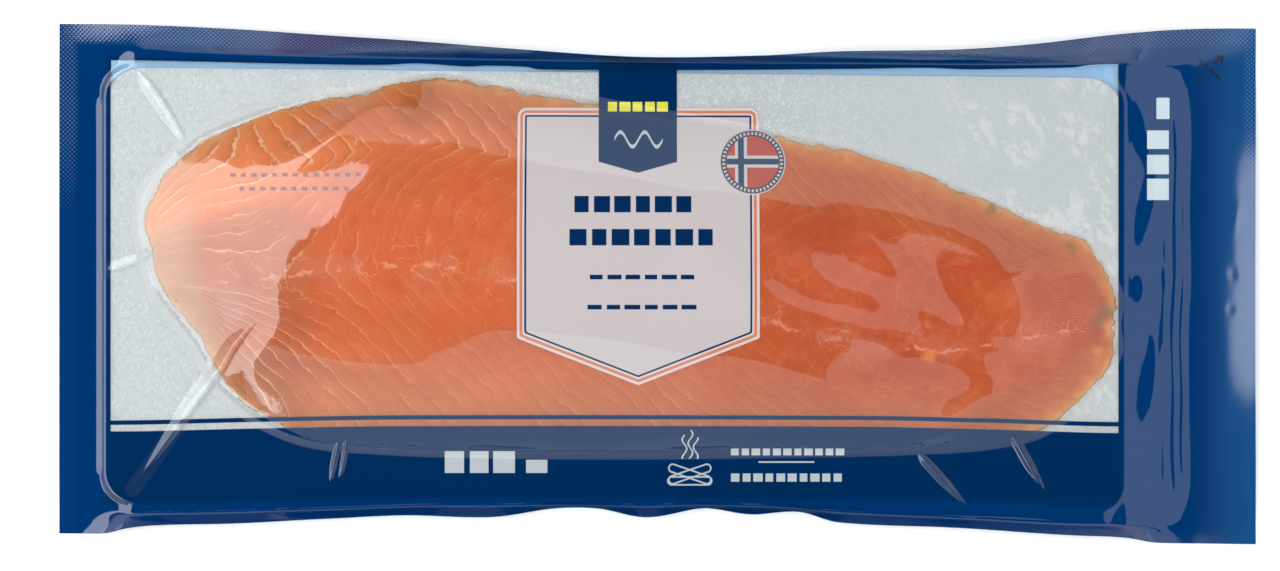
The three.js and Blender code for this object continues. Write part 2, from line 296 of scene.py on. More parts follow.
def softened(table, times):
    """A table of heights with each one drawn towards its neighbours."""
    for _ in range(times):
        wide = np.pad(table, 1, mode="edge")
        around = wide[:-2, 1:-1] + wide[2:, 1:-1] + wide[1:-1, :-2] + wide[1:-1, 2:]
        table = (around + 4 * table) / 8
    return table


def low_forms(forms, x, y):
    """Height of rounded low forms: middle, spread along X and Y, turn and height of each."""
    height = np.zeros_like(x)
    for cx, cy, along_x, along_y, turn, rise in forms:
        c, s = math.cos(math.radians(turn)), math.sin(math.radians(turn))
        u = ((x - cx) * c + (y - cy) * s) / along_x
        v = ((y - cy) * c - (x - cx) * s) / along_y
        height = height + rise * np.exp(-u * u - v * v)
    return height


def swell(x, y):
    """Height of the low swells and hollows."""
    return 0.35 * np.sin(x / 17 + y / 23) * np.sin(x / 41 - y / 13) + low_forms(SWELLS, x, y)


def turned_up(length, degrees, bend=BEND):
    """How far a border that turns up reaches out and up, `length` past where it starts."""
    step = length / 12
    out, up = np.zeros_like(length), np.zeros_like(length)
    for i in range(12):
        run = (i + 0.5) * step
        heading = np.radians(degrees) * eased(run, 0, bend)
        out += np.cos(heading) * step
        up += np.sin(heading) * step
    return out, up


def ripple(x, y):
    """Creases and low forms of the wide border, and faint ripples along the long borders."""
    wander = 0.5 * np.sin(y / 23) + 0.25 * np.sin(y / 7.5 + 1)
    long = 1 - eased(np.abs(y + 8), 62, 80)
    creases = sum(
        rise * np.exp(-(((x - at - wander * share) / wide) ** 2)) for at, wide, rise, share in CREASES
    )
    broad = 0.1 * np.sin(x / 5 + 1.5 * np.sin(y / 21)) * eased(x, 205, 212) * (1 - eased(x, 222, 230))
    edge = eased(np.abs(y), 90, 96) * 0.07 * np.sin(x / 11 + 1.7 * np.sin(x / 31)) * np.sin(y / 4)
    return (creases * long + broad) * (1 - eased(np.abs(y), 80, 92)) + low_forms(MARGIN_FORMS, x, y) + edge


def stepped_down(x, y, near):
    """Height of the film as it comes down off the board's edge to the sealed border."""
    drop = SEAL_MIDDLE + FILM_APART - FILM_ON_BOARD
    left = 0.45 * np.clip((near - 0.2) / 0.7, 0, 1) + 0.55 * np.clip((near - 0.9) / 2.5, 0, 1)
    right = np.clip((near - 0.2) / 25, 0, 1)
    long = np.clip((near - 0.2) / 10.5, 0, 1)
    corner = np.clip((near - 0.2) / 1.6, 0, 1)
    left = left + (corner - left) * eased(np.abs(y + 1), 71, 75)
    share = long + (left - long) * eased(-x, 206, 212)
    share = share + (right - share) * eased(x, 178, 184)
    return FILM_ON_BOARD + drop * share


def border(x, y):
    """The middle of the sealed border for points of the flat pouch."""
    top, bottom = board_top(x) + SEAL_START, board_bottom(x) - SEAL_START
    left = BOARD["x"] - BOARD["length"] / 2 - SEAL_START
    right = BOARD["x"] + BOARD["length"] / 2 + RIGHT_TURN_START
    px, py, pz = x.copy(), y.copy(), np.full_like(x, SEAL_MIDDLE)
    out, up = turned_up(np.maximum(y - top, 0), through(TOP_TURN, x))
    py, pz = np.where(y > top, top + out, py), pz + up
    out, up = turned_up(np.maximum(bottom - y, 0), through(BOTTOM_TURN, x))
    py, pz = np.where(y < bottom, bottom - out, py), pz + up
    out, up = turned_up(np.maximum(left - x, 0), through(LEFT_TURN, y))
    px, pz = np.where(x < left, left - out, px), pz + up
    out, up = turned_up(np.maximum(x - right, 0), through(RIGHT_TURN, y), RIGHT_BEND)
    px, pz = np.where(x > right, right + out, px), pz + up
    return np.column_stack([px, py, pz + ripple(x, y)])


def border_offset(x, y, distance):
    """The border moved along its own upward normal."""
    h = 0.2
    along_x = border(x + h, y) - border(x - h, y)
    along_y = border(x, y + h) - border(x, y - h)
    normal = np.cross(along_x, along_y)
    normal /= np.linalg.norm(normal, axis=1)[:, None]
    return border(x, y) + normal * distance


def spread(share, low, high, edges, fine, coarse):
    """Places from low to high for shares of the way, closer together near the edges."""
    at = np.linspace(low, high, 4000)
    near = np.min([np.abs(at - edge) for edge in edges], axis=0)
    density = 1 / (fine + (coarse - fine) * eased(near, 2.5, 6))
    run = np.concatenate([[0], np.cumsum((density[1:] + density[:-1]) / 2)])
    return np.interp(share, run / run[-1], at)


def pouch_point(u, v):
    """Where a share of the way along and across falls on the flat pouch, with rows along the board's edges."""
    x = spread(u, POUCH["left"], POUCH["right"], (-218.5, 183.5, 203), 0.45, 1.36)
    across = spread(v, -99, 101, (-84.5, 84.5), 0.42, 1.06)
    end = (x - POUCH["left"]) / (POUCH["right"] - POUCH["left"])
    bottom = POUCH["bottom_left"] + (POUCH["bottom_right"] - POUCH["bottom_left"]) * end + through(DRAWN_IN, x)
    top = POUCH["top_left"] + (POUCH["top_right"] - POUCH["top_left"]) * end
    low, high = board_bottom(x), board_top(x)
    y = low + (high - low) * (across + 84) / 168
    y = np.where(across < -84, bottom + (low - bottom) * (across + 99) / 15, y)
    y = np.where(across > 84, high + (top - high) * (across - 84) / 17, y)
    return x, y


def distance_to_line(x, y, points):
    """Distance to a line through the points, positive on the left of it, and the share of the way along it."""
    points = np.array(points, float)
    lengths = np.linalg.norm(np.diff(points, axis=0), axis=1)
    starts = np.concatenate([[0], np.cumsum(lengths)])
    best = np.full_like(x, 1e9)
    share = np.zeros_like(x)
    for k, (a, b) in enumerate(zip(points, points[1:])):
        run = b - a
        t = np.clip(((x - a[0]) * run[0] + (y - a[1]) * run[1]) / (run @ run), 0, 1)
        far = np.hypot(x - a[0] - t * run[0], y - a[1] - t * run[1])
        side = np.where((y - a[1]) * run[0] - (x - a[0]) * run[1] < 0, -1, 1)
        nearer = far < np.abs(best)
        best = np.where(nearer, far * side, best)
        share = np.where(nearer, (starts[k] + t * lengths[k]) / starts[-1], share)
    return best, share


def off_outline(x, y, outline, step):
    """Distance to a closed outline, of which every so many points are enough, positive inside it."""
    return distance_to_line(x, y, np.vstack([outline[::step], outline[:1]]))[0]


def near_folds(x, y):
    """Distance to the nearest fold."""
    return np.min([np.abs(distance_to_line(x, y, points)[0]) for points, _, _ in FOLDS], axis=0)


def folds(x, y):
    """Height of the film's standing folds: a gentle flank, a sharp crest and a steep flank, drawn to points."""
    height = np.zeros_like(x)
    for points, width, rise in FOLDS:
        off, share = distance_to_line(x, y, along(points, 24))
        taper = eased(share, 0, 0.2) * (1 - eased(share, 0.5, 1)) + 1e-3
        across = off * math.copysign(1, width) / (abs(width) * (0.3 + 0.7 * taper))
        flank = np.clip(1 - np.where(across > 0, across, -across / 0.6), 0, 1)
        height = np.maximum(height, rise * taper * (0.55 * flank + 0.45 * flank * flank * (3 - 2 * flank)))
    return height


# ---- Meshes -------------------------------------------------------------------------------------


def lay_out(columns, rows, place):
    """A grid of patches whose points `place` puts in millimetres, from shares of the way along and across."""
    bm = bmesh.new()
    bmesh.ops.create_grid(bm, x_segments=columns, y_segments=rows, size=0.5)
    shares = np.array([vert.co[:2] for vert in bm.verts]) + 0.5
    for vert, point in zip(bm.verts, place(shares[:, 0], shares[:, 1]) * MM):
        vert.co = point
    return bm, shares


def become_piece(context, bm, name, material, node):
    """The bmesh as an object that rides on the pack and stands for a node of its solids."""
    for face in bm.faces:
        face.smooth = True
    mesh = bpy.data.meshes.new(name)
    bm.to_mesh(mesh)
    bm.free()
    mesh.materials.append(material)
    piece = bpy.data.objects.new(name, mesh)
    context.scene.collection.objects.link(piece)
    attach(piece, "root")
    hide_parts(node)
    return piece


def add_map(piece, name, places):
    """A UV map from one place for each vertex, in metres."""
    mesh = piece.data
    corners = np.zeros(len(mesh.loops), int)
    mesh.loops.foreach_get("vertex_index", corners)
    layer = mesh.uv_layers.new(name=name)
    layer.data.foreach_set("uv", places[corners].astype(np.float32).ravel())


def points_of(piece):
    flat = np.zeros(len(piece.data.vertices) * 3)
    piece.data.vertices.foreach_get("co", flat)
    return flat.reshape(-1, 3) / MM


# ---- Shader tools -------------------------------------------------------------------------------


class Wire:
    """A socket that adds its tree's Math nodes when it is used in an expression."""

    def __init__(self, tree, socket):
        self.tree = tree
        self.socket = socket

    def maths(self, operation, *others, clamp=False):
        return self.tree.make("Math", (self, *others), operation=operation, use_clamp=clamp)

    def clamped(self):
        return self.maths("ADD", 0.0, clamp=True)

    def within(self, width):
        """1 at zero, falling evenly to 0 at a width."""
        return (1 - self / width).clamped()

    def other(self, name):
        """Another output of the same node."""
        return Wire(self.tree, self.socket.node.outputs[name])

    def __add__(self, value):
        return self.maths("ADD", value)

    __radd__ = __add__

    def __sub__(self, value):
        return self.maths("SUBTRACT", value)

    def __rsub__(self, value):
        return self.tree.make("Math", (value, self), operation="SUBTRACT")

    def __mul__(self, value):
        return self.maths("MULTIPLY", value)

    __rmul__ = __mul__

    def __truediv__(self, value):
        return self.maths("DIVIDE", value)

    def __neg__(self):
        return self * -1

    def __abs__(self):
        return self.maths("ABSOLUTE")

    def fraction(self):
        return self.maths("FRACT")

    def over(self, low, high):
        """0 below low, 1 above high, and eased between them."""
        values = {"Value": self, "From Min": low, "From Max": high}
        return self.tree.make("MapRange", values, interpolation_type="SMOOTHSTEP")

    def inside(self, soft=0.12):
        """1 where a distance in millimetres is below zero."""
        return (0.5 - self / soft).clamped()


def larger(a, b):
    return a.maths("MAXIMUM", b)


def smaller(a, b):
    return a.maths("MINIMUM", b)


class Tree:
    """The nodes of a material or of the world."""

    def __init__(self, name, kind="materials"):
        self.owner = getattr(bpy.data, kind).new(name)
        self.owner.use_nodes = True
        self.nodes = self.owner.node_tree.nodes
        self.links = self.owner.node_tree.links
        self.nodes.clear()

    def make(self, kind, values=(), output=0, **settings):
        """A shader node of a kind, with its settings and the values or links of its sockets, as its output."""
        node = self.nodes.new("ShaderNode" + kind)
        for name, value in settings.items():
            setattr(node, name, value)
        for key, value in values.items() if isinstance(values, dict) else enumerate(values):
            if isinstance(value, Wire):
                self.links.new(value.socket, node.inputs[key])
            else:
                node.inputs[key].default_value = value
        return Wire(self, node.outputs[output])

    @cached_property
    def places(self):
        """Object coordinates."""
        return self.make("TexCoord", output="Object")

    def map_axes(self, name):
        """A UV map's two axes, in millimetres."""
        axes = self.make("SeparateXYZ", (self.make("UVMap", uv_map=name),))
        return axes * 1000, axes.other("Y") * 1000

    def noise(self, scale, detail=3.0, roughness=0.5, distortion=0.0, stretch=None, turn=0.0):
        """Noise at the object's own places, which may be stretched and turned about Z."""
        places = self.places
        if stretch:
            values = {"Vector": places, "Scale": stretch, "Rotation": (0, 0, turn)}
            places = self.make("Mapping", values, vector_type="TEXTURE")
        values = {"Vector": places, "Scale": scale, "Detail": detail, "Roughness": roughness, "Distortion": distortion}
        return self.make("TexNoise", values)

    def sway(self, amount, *noise_values):
        """Noise about zero."""
        return (self.noise(*noise_values) - 0.5) * amount

    def mixed(self, share, first, second):
        """Two colours mixed."""
        colours = [(*c, 1.0) if isinstance(c, (tuple, list)) and len(c) == 3 else c for c in (first, second)]
        return self.make("Mix", {0: share, 6: colours[0], 7: colours[1]}, output=2, data_type="RGBA")

    def bump(self, height, strength, distance):
        return self.make("Bump", {"Strength": strength, "Distance": distance, "Height": height})

    def layered(self, colour, *layers):
        """A colour with others laid over it, each with its share."""
        for share, paint in layers:
            colour = self.mixed(share, colour, paint)
        return colour

    def surface(self, values):
        return self.finish(self.make("BsdfPrincipled", values))

    def finish(self, shader, kind="OutputMaterial"):
        self.links.new(shader.socket, self.nodes.new("ShaderNode" + kind).inputs["Surface"])
        return self.owner


def shade(colour):
    """A property's colour as a plain one."""
    return tuple(colour)[:3]


# ---- Properties ---------------------------------------------------------------------------------


def colour_property(name, description, default):
    return FloatVectorProperty(
        name=name, description=description, default=default, subtype="COLOR", size=3, min=0.0, max=1.0
    )


class SalmonPackColours(PropertyGroup):
    ink: colour_property("Ink", "Dark blue of the printed band and tab", (0.0, 0.018, 0.073))
    border_ink: colour_property("Border ink", "Blue of the border, with nothing silver under it", (0.0, 0.026, 0.112))
    lining: colour_property("Lining", "Pale blue of the lower web", (0.36, 0.60, 0.84))
    panel: colour_property("Panel", "Pale pink white of the label's field", (0.50, 0.447, 0.455))
    rule: colour_property("Rule", "Pale outline of the label", (0.555, 0.452, 0.457))
    accent: colour_property("Accent", "Orange of the label's outline", (0.50, 0.175, 0.09))
    spot: colour_property("Spot", "Yellow of the blocks on the tab", (0.56, 0.53, 0.05))
    red: colour_property("Red", "Red field of the round badge", (0.34, 0.058, 0.042))
    light_print: colour_property("Light print", "Greyish white of the blocks on the band", (0.36, 0.39, 0.41))
    silver: colour_property("Silver", "Face of the board", (0.60, 0.64, 0.655))
    flesh: colour_property("Flesh", "Orange flesh at the thick end", (0.66, 0.188, 0.072))
    flesh_tail: colour_property("Tail flesh", "Redder flesh towards the tail", (0.56, 0.122, 0.042))
    fat: colour_property("Fat", "Lines of fat", (0.84, 0.44, 0.21))
    # Amber painted where light shows through the fish's thin edge.
    thin_edge_glow: colour_property("Smoked edge", "Amber of the thin edges", (0.76, 0.34, 0.11))


def length_property(name, description, default):
    return FloatProperty(name=name, description=description, default=default, unit="LENGTH")


class SalmonPackSizes(PropertyGroup):
    fish_edge: length_property("Edge thickness", "Thickness of the fish at its edge", 0.0003)
    fish_rise: length_property("Rise", "How much thicker the fish is at its middle", 0.0162)
    fish_ragged: length_property("Ragged edge", "How far the cut edge wanders", 0.0015)
    fat_spacing: length_property("Fat spacing", "Distance from one line of fat to the next", 0.0092)
    web_lift: length_property("Film lift", "Height of the film's middle over the fish", 0.0005)
    floor_width: length_property("Floor width", "Width of the pale floor", 8.0)


# ---- Finishes -----------------------------------------------------------------------------------


def flesh_finish(colours, sizes):
    tree = Tree("smoked_flesh")
    grain, level = tree.map_axes("Grain")
    level = level / 1000
    rim, _ = tree.map_axes("Rim")
    axes = tree.make("SeparateXYZ", (tree.places,))
    x, y = axes * 1000, axes.other("Y") * 1000

    broad = tree.noise(22, 3, 0.55)
    patchy = tree.noise(60, 3, 0.55)
    mottle = tree.noise(130, 4, 0.65, 0.6)
    fine = tree.noise(260, 4, 0.6)
    tail = (x + (broad - 0.5) * 90).over(-60, 110)
    belly = (-level).over(0.25, 0.95)
    back = level.over(0.5, 0.72)
    thick_end = (-x).over(92, 175)
    flesh = tree.layered(
        shade(colours.flesh),
        (tail, shade(colours.flesh_tail)),
        (broad.over(0.42, 0.72) * 0.4, (0.68, 0.19, 0.075)),
        (patchy.over(0.48, 0.72) * 0.45, (0.67, 0.22, 0.11)),
        (mottle.over(0.5, 0.62) * 0.22, (0.73, 0.27, 0.13)),
        ((1 - mottle.over(0.34, 0.46)) * 0.25, (0.55, 0.115, 0.038)),
        (belly * 0.75 * (1 - 0.4 * tail), (0.78, 0.36, 0.18)),
        (back * 0.5 * (1 - 0.5 * tail), (0.76, 0.30, 0.125)),
        (thick_end * level.over(0.2, 0.6) * 0.75, (0.90, 0.40, 0.17)),
        ((-x).over(125, 150) * (1 - level.over(0.3, 0.6)) * 0.55, (0.46, 0.17, 0.085)),
    )

    # Lines of fat, which wander, branch and fade; beside each one a painted highlight lies on one side and painted
    # shade on the other.
    # Where the thick end's layers lie almost flat on the back, they wander further and are wider.
    pitch = sizes.fat_spacing / MM
    flat_layers = (-x).over(30, 130) * level.over(0.35, 0.75)
    wander = (
        tree.sway(11.0, 38, 2)
        + tree.sway(5.5, 85, 3, 0.6)
        + tree.sway(4.2, 230, 3, 0.6)
        + tree.sway(1.2, 760, 2)
    ) * (1 + 0.1 * flat_layers)
    past = ((grain + wander) / pitch).fraction()
    off_line = smaller(past, 1 - past)
    strength = tree.noise(64, 3)
    width = 0.03 + 0.05 * strength.over(0.38, 0.7) + 0.03 * flat_layers
    core = off_line.within(width)
    shown = (0.3 + 0.85 * belly + 0.95 * back + 0.5 * thick_end) * (1 - 0.65 * tail)
    shown = shown * (0.3 + 0.7 * strength.over(0.36, 0.56))
    # glow is a painted highlight after each line, shadow is painted shade before it.
    glow, shadow = ((1 - past) * (1 - past) * (1 - past), past * past * past)
    flesh = tree.layered(
        flesh, (glow * shown * 0.34, (0.74, 0.34, 0.16)), (shadow * shown * 0.34, (0.47, 0.10, 0.036))
    )

    # Finer lines between them, which feather out from the middle line.
    spread_out = (grain * 0.8 + tree.sway(26, 48, 3, 0.6) + level * 9) / (pitch * 0.55)
    between = (spread_out + (fine - 0.5) * 0.5).fraction() - 0.5
    feather = abs(between).within(0.055)
    feather_shown = 0.5 * tree.noise(110, 3, 0.6).over(0.48, 0.6) * (1 - 0.4 * tail)
    fibres = (level * 34 + (patchy - 0.5) * 6.5 + (fine - 0.5) * 1.6).fraction() - 0.5
    fibre = abs(fibres).within(0.13) * x.over(138, 178) * strength.over(0.30, 0.50)
    fat = larger(larger(core * shown, feather * feather_shown), fibre * 0.7)
    fat_colour = tree.mixed(thick_end, shade(colours.fat), (0.92, 0.66, 0.46))
    flesh = tree.mixed(fat, flesh, fat_colour)

    # Broken pale tissue along the middle line, with thin veins that branch off it.
    jitter = tree.sway(0.2, 75, 3, 0.65) + (fine - 0.5) * 0.05
    off_middle = abs(level + jitter)
    pieces = tree.noise(170, 3, 0.7, stretch=(1.6, 1, 1)).over(0.5, 0.58)
    on_line = off_middle.within(0.022) * pieces
    bent = tree.make("VectorMath", (tree.places, tree.make("VectorMath", (
        tree.noise(90, 3, 0.6).other("Color"), (0.012, 0.012, 0.0)), operation="MULTIPLY")), operation="ADD")
    cells = tree.make("TexVoronoi", {"Vector": bent, "Scale": 115.0}, feature="DISTANCE_TO_EDGE")
    veins = cells.within(0.035) * (1 - off_middle.over(0.05, 0.2))
    veins = veins * tree.noise(95, 2).over(0.5, 0.6)
    flesh = tree.mixed((1 - off_middle.over(0.02, 0.16)) * patchy.over(0.45, 0.6) * 0.3, flesh, (0.68, 0.30, 0.20))
    flesh = tree.mixed(larger(on_line * 0.7, veins * 0.55), flesh, (0.88, 0.50, 0.36))

    # Painted light through the thin edge: an amber band and a cream rim. Olive dried spots by the tail, painted shade
    # by a crest, and a few painted glints.
    ragged = rim + tree.sway(9, 180, 4, 0.65) + (broad - 0.5) * 7
    edge = 1 - ragged.over(0.5, 6.5 + 4.0 * back * (1 - thick_end))
    flesh = tree.mixed(edge * (0.85 - 0.3 * thick_end), flesh, shade(colours.thin_edge_glow))
    flesh = tree.mixed((1 - ragged.over(-1.5, 3.2)) * 0.6, flesh, (0.90, 0.58, 0.30))
    pale_end = (1 - (ragged * 0.35 + x * 0.5).over(-92, -78)) * (1 - back * 0.6)
    flesh = tree.mixed(pale_end * 0.55, flesh, (0.64, 0.46, 0.32))
    for spot_x, spot_y, size, amount, colour in SPOTS_AND_CREST_SHADE:
        off_x, off_y = x - spot_x, y - spot_y
        far = (off_x * off_x + off_y * off_y).maths("SQRT") + (fine - 0.5) * 6 + (patchy - 0.5) * 7
        flesh = tree.mixed((1 - far.over(size * 0.2, size)) * amount, flesh, colour)
    # Painted glints: a few small pale dots of wet light.
    painted_glints = tree.make("TexVoronoi", {"Vector": tree.places, "Scale": 40.0, "Randomness": 1.0})
    rare_glints = tree.noise(33, 1).over(0.53, 0.56)
    flesh = tree.mixed((1 - painted_glints.over(0.012, 0.02)) * rare_glints * 0.9, flesh, (0.95, 0.8, 0.7))

    height_map = fat * 0.5 + fine * 0.8 + broad + mottle * 0.6
    values = {
        "Base Color": flesh, "Roughness": 0.6, "Specular IOR Level": 0.2,
        "Normal": tree.bump(height_map, 0.35, 0.0006),
    }
    return tree.surface(values)


def board_finish(colours):
    tree = Tree("silver_board")
    x = tree.make("SeparateXYZ", (tree.places,)) * 1000
    fibres = tree.noise(900, 3, 0.65, stretch=(1.0, 2.2, 1), turn=0.7)
    flecks = tree.noise(1150, 2, 0.6, stretch=(2.0, 1.0, 1), turn=0.9)
    crumple = tree.noise(420, 4, 0.7)
    broad = tree.noise(14, 2)
    rough = 1 - 0.75 * x.over(20, 110)
    wet = tree.noise(230, 5, 0.7, stretch=(1.0, 1.8, 1), turn=0.5).over(0.52, 0.55)
    wet = wet * x.over(100, 132) * tree.noise(30, 2).over(0.40, 0.50)
    silver = tree.layered(
        (0.68, 0.72, 0.73),
        # Lighter towards the left end, on the side of the key light: painted light.
        ((x + (broad - 0.5) * 120).over(-190, 60), shade(colours.silver)),
        ((1 - crumple.over(0.38, 0.5)) * rough * 0.45, (0.54, 0.585, 0.60)),
        (fibres.over(0.5, 0.62) * rough * 0.6, (0.74, 0.77, 0.78)),
        (flecks.over(0.56, 0.66) * rough * 0.75, (0.86, 0.88, 0.88)),
        (wet * 0.55, (0.78, 0.80, 0.80)),
    )
    bump = tree.bump((crumple + fibres) * rough, 0.8, 0.0006)
    values = {"Base Color": silver, "Metallic": 0.12, "Roughness": 0.42, "Normal": bump}
    return tree.surface(values)


def lining_finish(colours):
    tree = Tree("lower_web")
    mottle = tree.noise(60, 3)
    colour = tree.mixed(mottle * 0.3, shade(colours.lining), (0.34, 0.50, 0.62))
    turned_up = (tree.make("SeparateXYZ", (tree.places,)).other("Z") * 1000).over(1.5, 3.5)
    colour = tree.mixed(turned_up, colour, shade(colours.border_ink))
    bump = tree.bump(tree.noise(120, 3) + mottle, 0.25, 0.0006)
    values = {"Base Color": colour, "Roughness": 0.3, "Specular IOR Level": 0.5, "Normal": bump}
    return tree.surface(values)


def block(x, y, middle, half, corner):
    """Distance outside a rounded block; negative in it."""
    u = abs(x - middle[0]) - (half[0] - corner)
    v = abs(y - middle[1]) - (half[1] - corner)
    out_u, out_v = larger(u, 0.0), larger(v, 0.0)
    return (out_u * out_u + out_v * out_v).maths("SQRT") + smaller(larger(u, v), 0.0) - corner


def nearest(*distances):
    found = distances[0]
    for distance in distances[1:]:
        found = smaller(found, distance)
    return found


def blocks(x, y, start, pitch, count, middle, half):
    """Distance outside a row of plain blocks of uneven widths that stand for a row of words."""
    place = (x - start) / pitch
    number = place.maths("FLOOR")
    wide = half[0] * (0.9 + 0.1 * (number * 2.4 + start).maths("SINE"))
    u = abs((place - number - 0.5) * pitch) - wide
    rounded = larger(u, abs(y - middle) - half[1])
    ends = abs(x - (start + pitch * count / 2)) - pitch * count / 2
    return larger(rounded, ends)


# Turns of the knurl's waves for each millimetre, in radians.
KNURL = 3.6


def printed_film_finish(colours):
    """Clear glossy film with its print: how much ink there is at each place, and of which colour."""
    tree = Tree("printed_film")
    x, y = tree.map_axes("Flat")
    row, one = partial(blocks, x, y), partial(block, x, y)
    top, band = tree.map_axes("Edges")
    ink, rule, light_print = shade(colours.ink), shade(colours.rule), shade(colours.light_print)
    pale_blue = (0.43, 0.50, 0.54)

    # The border, the band and the line over it.
    side = larger(-214.7 - x, x - 181.0)
    frame_print = larger(larger(side, top), -band)
    line = 0.85 - abs(band - 3.45)
    navy = (-larger(frame_print, line)).inside()
    off_board = larger(larger(larger(side, top), -band - 27.0), 0.0).over(0.0, 3.0)

    # The label: a five-sided panel with its outlines, rows of blocks, and a tab hung from the border.
    across = abs(x + 7.5)
    box = one((-7.5, -5.5), (47.25, 74.6), 3.6)
    panel = box.maths("SMOOTH_MAX", 0.363 * across - 0.932 * (y + 39.5), 1.2)
    tab = larger(abs(x + 7.7) - 15.35, 0.272 * abs(x + 7.7) - 0.962 * (y - 43.4))
    rows = nearest(
        row(-33.6, 7.97, 6, 31.1, (3.4, 3.2)),
        row(-35.1, 8.27, 7, 18.2, (3.5, 3.2)),
        row(-27.4, 7.1, 6, 2.7, (3.0, 0.9)),
        row(-28.2, 7.35, 6, -9.0, (3.1, 0.9)),
    )
    wave = ((x + 7.4) * 0.66).maths("SINE") * 2.9
    swash = larger(abs(y - 56.6 - wave) - 0.75, abs(x + 7.4) - 9.4)
    ring = ((x - 37.2) * (x - 37.2) + (y - 47.75) * (y - 47.75)).maths("SQRT")
    cross = smaller(abs(x - 32.7), abs(y - 47.9))
    turn = (y - 47.75).maths("ARCTAN2", x - 37.2) * (46 / math.tau)
    marks = larger(abs(ring - 11.35) - 0.6, abs(turn.fraction() - 0.5) * 1.55 - 0.42)

    # Blocks and a sign of smoking wood on the band, blocks on the wide border, and a tear mark.
    weight = nearest(
        row(-84.6, 9.75, 3, -69.9, (4.3, 4.3)),
        one((-47.4, -71.6), (4.2, 2.6), 0.4),
    )
    weight_side = nearest(
        blocks(y, x, 32.3, 9.75, 3, 196.6, (4.3, 4.3)),
        one((198.6, 69.0), (2.6, 4.2), 0.4),
    )
    words = nearest(
        row(28.3, 4.13, 11, -65.9, (1.7, 1.35)),
        row(28.3, 4.47, 10, -76.0, (1.85, 1.6)),
        one((50.6, -69.9), (11.0, 0.3), 0.25),
    )
    logs = []
    for angle, middle_y in ((0.33, -74.6), (-0.33, -74.6), (0.0, -77.3)):
        c, s = math.cos(angle), math.sin(angle)
        u = (x - 12.7) * c + (y - middle_y) * s
        v = (y - middle_y) * c - (x - 12.7) * s
        logs.append(abs(block(u, v, (0.0, 0.0), (8.6, 1.55), 1.5)) - 0.3)
    smoke = []
    for k, (start, tall) in enumerate(((10.6, 9.5), (12.9, 11.5), (15.0, 8.5))):
        waves = (y * 0.85 + k * 1.3).maths("SINE") * 0.9
        smoke.append(larger(abs(x - start - waves) - 0.32, abs(y + 68.6 - tall / 2) - tall / 2))
    wood = nearest(*logs, *smoke)
    along_tear = ((x - 216.8) - (y - 84.7)) * 0.707
    dashes = larger(abs((x - 216.8) + (y - 84.7)) * 0.707 - 0.45, abs((along_tear / 3.3).fraction() - 0.5) * 3.3 - 1.1)
    shaft = larger(abs((x - 220.2) - (y - 88.2)) * 0.707 - 0.45, abs((x - 220.2) + (y - 88.2)) * 0.707 - 2.0)
    head = nearest(one((220.6, 89.6), (1.7, 0.45), 0.2), one((221.9, 88.3), (0.45, 1.7), 0.2))
    tear = nearest(larger(dashes, abs(along_tear) - 6.6), shaft, head)
    code = nearest(
        row(-168.0, 4.1, 13, 42.6, (1.2, 0.75)),
        row(-164.4, 4.1, 11, 37.2, (1.2, 0.75)),
    )

    # Where the film comes down to the board round the fish's thick end, grey is painted into it: partly the film's
    # milky look, partly painted shade over the light that comes through its steep slope.
    off_fish, reach = tree.map_axes("Fish")
    milky_and_shade = off_fish.over(-0.6, 0.4) * (1 - (off_fish - reach).over(1.6, 2.8)) * reach.over(1.4, 3.2) * 0.34
    off_board = tree.mixed(off_board, ink, shade(colours.border_ink))
    # A lighter blue towards the wide border's cut edge: a painted highlight.
    off_board = tree.mixed(x.over(214, 228) * 0.5, off_board, (0.0, 0.065, 0.20))

    # Colours from the lowest layer up, with how much each one covers.
    # The grey here shows only in that ribbon: milky film and painted shade.
    colour = tree.mixed(navy, (0.50, 0.52, 0.53), off_board)
    cover = larger(navy, milky_and_shade)
    for distance, paint, amount in (
        (panel, rule, 0.94),
        (panel + 1.05, shade(colours.accent), 0.92),
        (panel + 2.15, rule, 0.94),
        (panel + 2.9, ink, 0.9),
        (panel + 3.65, shade(colours.panel), 0.85),
        (rows, ink, 0.95),
        (tab, ink, 1.0),
        (row(-20.1, 4.9, 5, 69.6, (2.2, 1.9)), shade(colours.spot), 1.0),
        (swash, light_print, 1.0),
        (ring - 12.9, (0.40, 0.38, 0.42), 0.95),
        (ring - 12.45, (0.045, 0.036, 0.05), 0.97),
        (marks, (0.40, 0.38, 0.42), 0.9),
        (ring - 10.2, shade(colours.red), 0.97),
        (larger(ring - 10.2, cross - 2.35), (0.42, 0.39, 0.41), 0.97),
        (larger(ring - 10.2, cross - 1.15), (0.02, 0.04, 0.085), 0.97),
        (nearest(weight, words, wood), light_print, 1.0),
        (weight_side, pale_blue, 1.0),
        (tear, (0.012, 0.012, 0.016), 0.9),
        (code, (0.20, 0.055, 0.075), 0.75),
    ):
        mask = distance.inside()
        colour = tree.mixed(mask, colour, paint)
        cover = cover + (amount - cover) * mask

    # The film's own fine relief: a knurled seal round the edge, faint ripples and finer scuffs, with painted glints on
    # the knurl's bumps.
    seal = larger(larger(-227.0 - x, x - 229.0), larger(top - 5.5, -(band + 38.0)))
    knurl = (x * KNURL).maths("SINE") * (y * KNURL).maths("SINE")
    ripples = tree.noise(75, 2, stretch=(1, 1.6, 1))
    scuffs = tree.noise(620, 3, 0.6, stretch=(1.0, 3.0, 1.0), turn=-0.9) * ripples.over(0.5, 0.62)
    knurl = knurl * seal.over(-1.0, 3.5) * (0.25 + 0.75 * y.over(25, 70) * (1 - 0.5 * x.over(-190, -120)))
    # Painted glints: lighter dots on the knurl's bumps.
    colour = tree.mixed(knurl.over(0.05, 0.6) * navy * 0.45, colour, (0.15, 0.22, 0.38))
    uneven = tree.noise(240, 3, 0.6) * (-x).over(105, 150)
    relief = knurl * 0.16 + ripples * 0.6 + scuffs * 0.05 + uneven * 0.35

